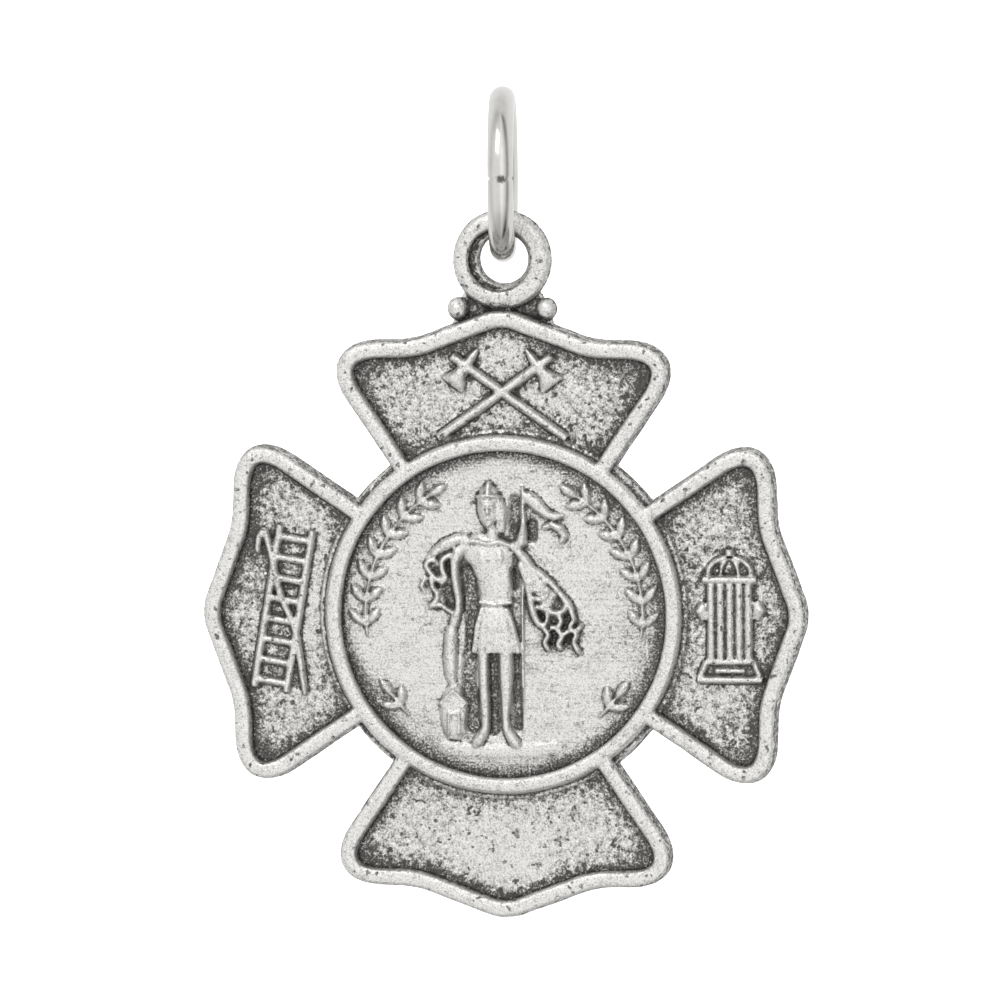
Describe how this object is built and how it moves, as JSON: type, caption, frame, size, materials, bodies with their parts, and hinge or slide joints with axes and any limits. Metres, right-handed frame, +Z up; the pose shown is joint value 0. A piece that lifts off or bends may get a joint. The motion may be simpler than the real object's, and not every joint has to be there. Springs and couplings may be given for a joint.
{
  "type": "medal badge",
  "caption": "Antiqued silver service-cross medal with a round relief disc and a hanging loop, on a plain jump ring.",
  "frame": {"origin": "top of the jump ring's hole, where a chain bears", "axes": "+Z up along the hanging medal, -Y out of the medal's front, +X to the right of the front view"},
  "size_m": [0.0202, 0.0058, 0.0274],
  "materials": {
    "polished_silver": "polished",
    "antiqued_silver": "satin, darkened in the hollows"
  },
  "bodies": {
    "ring": {"jump_ring": "polished_silver"},
    "medal": {"medal": "antiqued_silver"}
  },
  "joints": [
    {"name": "medal_swing", "type": "hinge", "parent": "ring", "child": "medal", "pos_m": [0, 0, -0.00484], "axis": [0, 1, 0], "range_deg": [-110, 110]}
  ]
}
